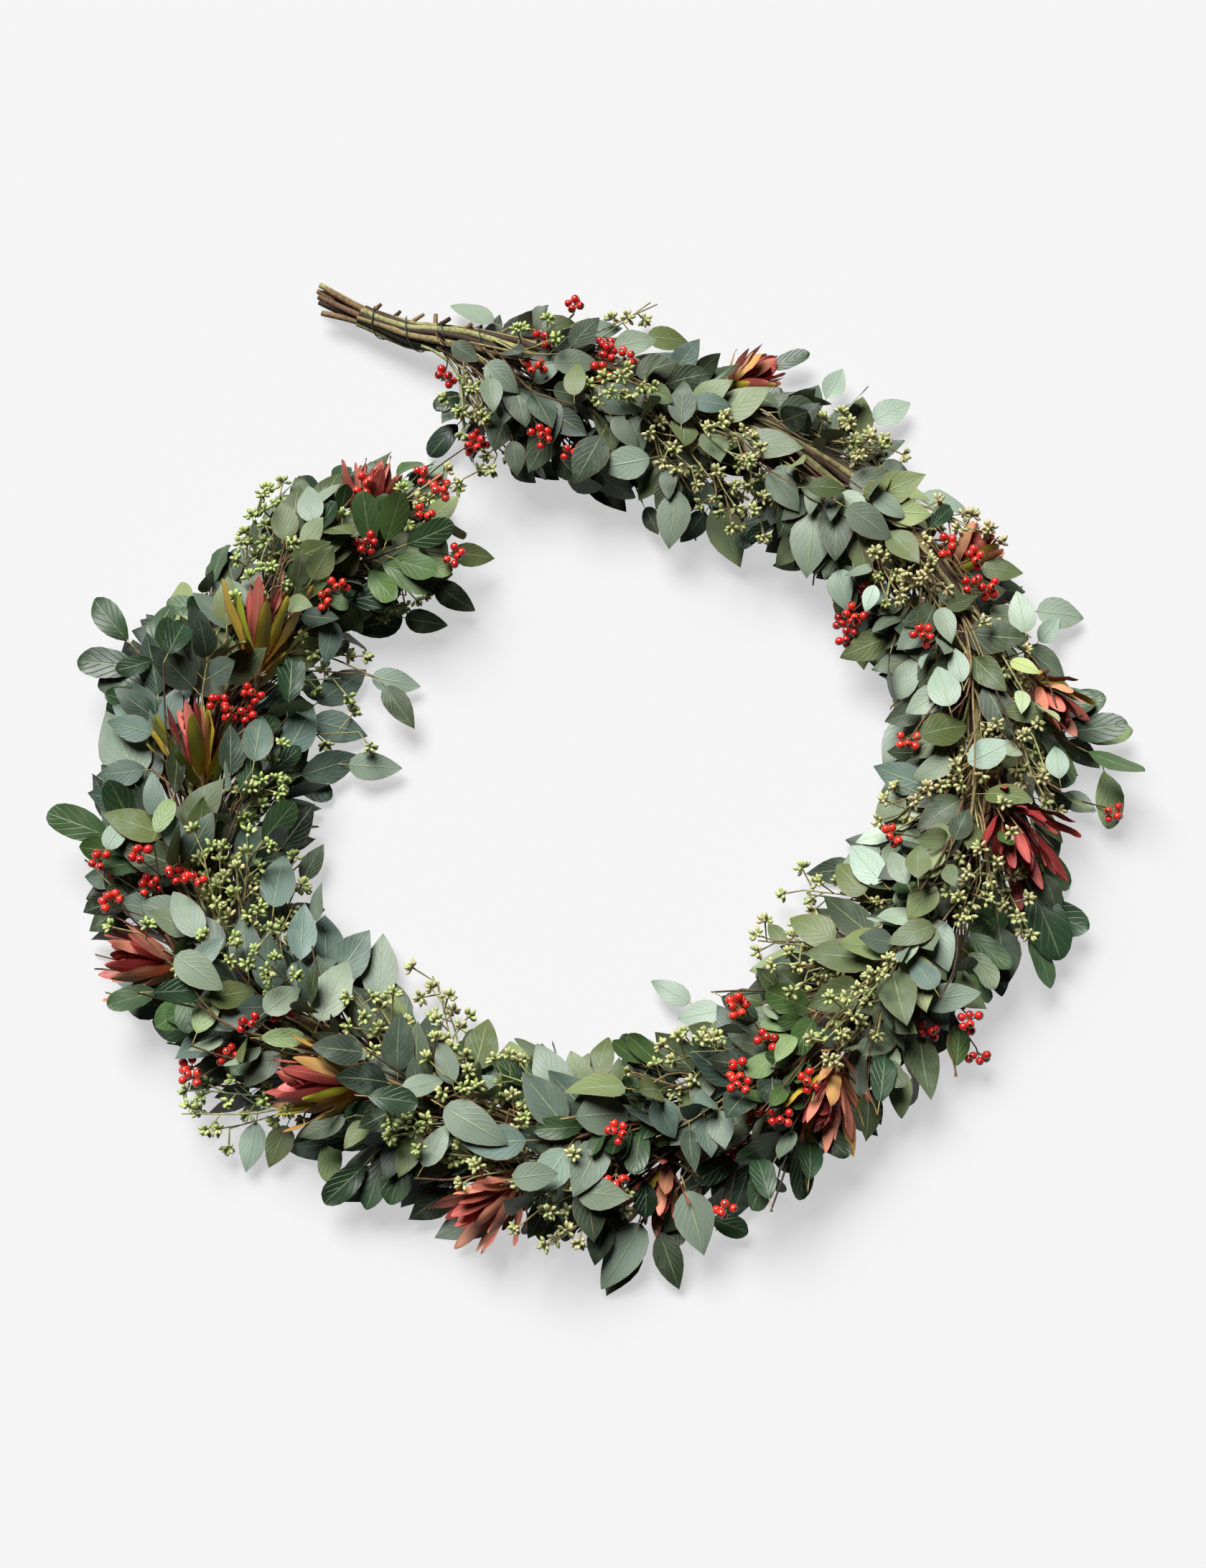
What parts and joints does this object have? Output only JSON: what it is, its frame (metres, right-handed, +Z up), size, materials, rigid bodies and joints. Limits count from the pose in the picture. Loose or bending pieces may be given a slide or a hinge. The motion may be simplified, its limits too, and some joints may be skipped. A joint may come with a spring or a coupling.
{
  "type": "winter greenery garland",
  "caption": "Loose garland of eucalyptus, cotoneaster, red berries, bud sprays and conebush blooms on a wired stem bundle, curled into an open ring and lying flat.",
  "frame": {"origin": "on the surface that the garland lies on, under the middle of its bounding box", "axes": "+Z up from the surface, -Y towards the side that the picture was taken from, +X to its right, so the bare stems are at -X +Y"},
  "size_m": [0.8974, 0.894, 0.1173],
  "materials": {
    "bark": "rough brown and olive bark with pale cut ends",
    "wire": "dark green enamelled florist wire",
    "conebush": "satin bracts, red and peach inside, olive outside",
    "berries": "glossy orange-red skin",
    "buds": "waxy green to tan-pink buds",
    "cotoneaster_leaf": "glossy dark green above, pale sage below",
    "eucalyptus_leaf": "matte grey-green with a waxy bloom"
  },
  "bodies": {
    "root": {"berries_01": "berries", "berries_02": "berries", "berries_03": "berries", "berries_04": "berries", "berries_05": "berries", "berries_06": "berries", "berries_07": "berries", "berries_08": "berries", "berries_09": "berries", "berries_10": "berries", "berries_11": "berries", "berries_12": "berries", "binding_wire": "wire", "bloom_01": "conebush", "bloom_02": "conebush", "bloom_03": "conebush", "bloom_04": "conebush", "bloom_05": "conebush", "bloom_06": "conebush", "bloom_07": "conebush", "bloom_08": "conebush", "buds_01": "buds", "buds_02": "buds", "buds_03": "buds", "buds_04": "buds", "buds_05": "buds", "buds_06": "buds", "buds_07": "buds", "buds_08": "buds", "buds_09": "buds", "buds_10": "buds", "buds_11": "buds", "buds_12": "buds", "buds_13": "buds", "cotoneaster_01": "cotoneaster_leaf", "cotoneaster_02": "cotoneaster_leaf", "cotoneaster_03": "cotoneaster_leaf", "cotoneaster_04": "cotoneaster_leaf", "cotoneaster_05": "cotoneaster_leaf", "cotoneaster_06": "cotoneaster_leaf", "cotoneaster_07": "cotoneaster_leaf", "cotoneaster_08": "cotoneaster_leaf", "eucalyptus_01": "eucalyptus_leaf", "eucalyptus_02": "eucalyptus_leaf", "eucalyptus_03": "eucalyptus_leaf", "eucalyptus_04": "eucalyptus_leaf", "eucalyptus_05": "eucalyptus_leaf", "eucalyptus_06": "eucalyptus_leaf", "eucalyptus_07": "eucalyptus_leaf", "eucalyptus_08": "eucalyptus_leaf", "eucalyptus_09": "eucalyptus_leaf", "eucalyptus_10": "eucalyptus_leaf", "eucalyptus_11": "eucalyptus_leaf", "eucalyptus_12": "eucalyptus_leaf", "eucalyptus_13": "eucalyptus_leaf", "eucalyptus_14": "eucalyptus_leaf", "stem_bundle": "bark"}
  },
  "joints": []
}
